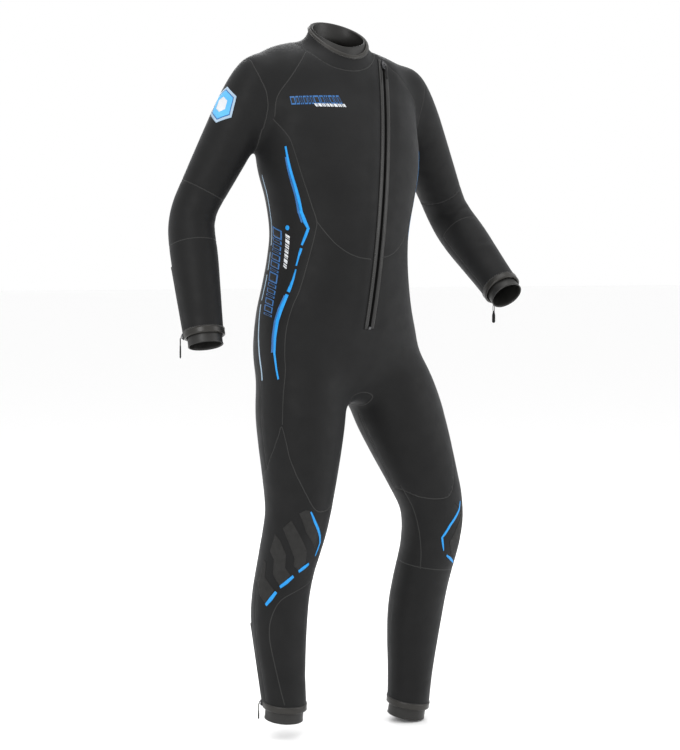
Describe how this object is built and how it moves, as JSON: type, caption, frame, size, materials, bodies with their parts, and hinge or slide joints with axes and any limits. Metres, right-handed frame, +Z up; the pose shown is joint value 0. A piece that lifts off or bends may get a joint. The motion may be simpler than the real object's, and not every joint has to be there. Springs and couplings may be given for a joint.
{
  "type": "full wetsuit",
  "caption": "Full-length neoprene wetsuit as if worn: panels joined at seams, collar, smooth neck, wrist and ankle seals, curved front zip and zipped cuffs.",
  "frame": {"origin": "in the middle of the neck base, where the collar would rest on a hanger or a wearer", "axes": "+Z up along the standing suit, -Y the front with the zip, +X the wearer's left side"},
  "size_m": [0.7565, 0.2762, 1.4705],
  "materials": {
    "jersey": "matte",
    "stretch": "matte",
    "smooth_skin": "satin",
    "tape": "satin",
    "teeth": "matte",
    "slider": "satin",
    "pull": "matte"
  },
  "bodies": {
    "trunk": {"back_lower": "jersey", "back_upper": "jersey", "chest_left": "jersey", "chest_right": "jersey", "collar": "jersey", "collar_binding": "tape", "crotch_gusset": "jersey", "elbow_panel_left": "stretch", "elbow_panel_right": "stretch", "front_lower": "jersey", "knee_panel_left": "stretch", "knee_panel_right": "stretch", "main_zip_bottom_stop": "slider", "main_zip_tape_left": "tape", "main_zip_tape_right": "tape", "main_zip_teeth": "teeth", "main_zip_top_stop": "slider", "main_zip_underflap": "jersey", "neck_seal": "smooth_skin", "side_panel_left": "stretch", "side_panel_right": "stretch", "upper_sleeve_left": "jersey", "upper_sleeve_right": "jersey", "yoke_left": "jersey", "yoke_right": "jersey"},
    "forearm_right": {"lower_sleeve_right": "jersey", "wrist_hem_right": "tape", "wrist_seal_right": "smooth_skin", "wrist_zip_tape_right": "tape", "wrist_zip_teeth_right": "teeth"},
    "shin_right": {"shin_panel_right": "jersey", "calf_panel_right": "jersey", "ankle_hem_right": "tape", "ankle_seal_right": "smooth_skin", "ankle_zip_tape_right": "tape", "ankle_zip_teeth_right": "teeth"},
    "wrist_runner_right": {"wrist_slider_right": "slider"},
    "wrist_tab_right": {"wrist_pull_right": "pull"},
    "ankle_runner_right": {"ankle_slider_right": "slider"},
    "ankle_tab_right": {"ankle_pull_right": "pull"},
    "forearm_left": {"lower_sleeve_left": "jersey", "wrist_hem_left": "tape", "wrist_seal_left": "smooth_skin", "wrist_zip_tape_left": "tape", "wrist_zip_teeth_left": "teeth"},
    "shin_left": {"shin_panel_left": "jersey", "calf_panel_left": "jersey", "ankle_hem_left": "tape", "ankle_seal_left": "smooth_skin", "ankle_zip_tape_left": "tape", "ankle_zip_teeth_left": "teeth"},
    "wrist_runner_left": {"wrist_slider_left": "slider"},
    "wrist_tab_left": {"wrist_pull_left": "pull"},
    "ankle_runner_left": {"ankle_slider_left": "slider"},
    "ankle_tab_left": {"ankle_pull_left": "pull"},
    "main_runner": {"main_slider": "slider"},
    "main_tab": {"main_pull": "pull"}
  },
  "joints": [
    {"name": "main_zip_travel", "type": "hinge", "parent": "trunk", "child": "main_runner", "pos_m": [0.24667, 0.46814, -0.44012], "axis": [0.9245, -0.3655, -0.1081], "range_deg": [0, 46.5]},
    {"name": "main_pull_swing", "type": "hinge", "parent": "main_runner", "child": "main_tab", "pos_m": [0.08914, -0.05785, -0.04526], "axis": [0.9282, 0.0414, -0.3699], "range_deg": [-150, 0]},
    {"name": "elbow_bend_right", "type": "hinge", "parent": "trunk", "child": "forearm_right", "pos_m": [-0.302, 0.078, -0.358], "axis": [-0.7956, -0.5627, 0.2245], "range_deg": [-35, 63], "stiffness_Nm_per_rad": 1.5, "springref_deg": 1.6, "deforming": ["elbow_panel_right"]},
    {"name": "knee_bend_right", "type": "hinge", "parent": "trunk", "child": "shin_right", "pos_m": [-0.12, -0.044, -1.008], "axis": [0.9591, -0.2781, -0.0528], "range_deg": [-10, 84], "stiffness_Nm_per_rad": 3, "springref_deg": 1.39, "deforming": ["knee_panel_right"]},
    {"name": "wrist_zip_travel_right", "type": "slide", "parent": "forearm_right", "child": "wrist_runner_right", "axis": [0.0134, 0.3447, 0.9386], "range_m": [0, 0.128]},
    {"name": "ankle_zip_travel_right", "type": "slide", "parent": "shin_right", "child": "ankle_runner_right", "axis": [-0.0965, 0.1092, 0.9893], "range_m": [0, 0.15]},
    {"name": "wrist_pull_swing_right", "type": "hinge", "parent": "wrist_runner_right", "child": "wrist_tab_right", "pos_m": [-0.35191, 0.03032, -0.59913], "axis": [-0.6079, -0.794, 0], "range_deg": [-150, 5]},
    {"name": "ankle_pull_swing_right", "type": "hinge", "parent": "ankle_runner_right", "child": "ankle_tab_right", "pos_m": [-0.17127, 0.02801, -1.35631], "axis": [-0.5801, -0.8145, 0], "range_deg": [-150, 0]},
    {"name": "elbow_bend_left", "type": "hinge", "parent": "trunk", "child": "forearm_left", "pos_m": [0.351, 0.066, -0.346], "axis": [-0.8074, 0.378, -0.4531], "range_deg": [-60, 36], "stiffness_Nm_per_rad": 1.5, "springref_deg": 4.23, "deforming": ["elbow_panel_left"]},
    {"name": "knee_bend_left", "type": "hinge", "parent": "trunk", "child": "shin_left", "pos_m": [0.213, -0.086, -0.998], "axis": [0.6002, 0.7988, 0.0411], "range_deg": [-30, 64], "stiffness_Nm_per_rad": 3, "springref_deg": 2.15, "deforming": ["knee_panel_left"]},
    {"name": "wrist_zip_travel_left", "type": "slide", "parent": "forearm_left", "child": "wrist_runner_left", "axis": [-0.0233, 0.7789, 0.6268], "range_m": [0, 0.128]},
    {"name": "ankle_zip_travel_left", "type": "slide", "parent": "shin_left", "child": "ankle_runner_left", "axis": [0.1527, 0.0552, 0.9867], "range_m": [0, 0.15]},
    {"name": "wrist_pull_swing_left", "type": "hinge", "parent": "wrist_runner_left", "child": "wrist_tab_left", "pos_m": [0.36367, -0.077, -0.53863], "axis": [-0.9818, 0.1898, 0], "range_deg": [-95, 25]},
    {"name": "ankle_pull_swing_left", "type": "hinge", "parent": "ankle_runner_left", "child": "ankle_tab_left", "pos_m": [0.21175, -0.00029, -1.38679], "axis": [-0.5876, 0.8091, 0], "range_deg": [-150, 0]}
  ]
}
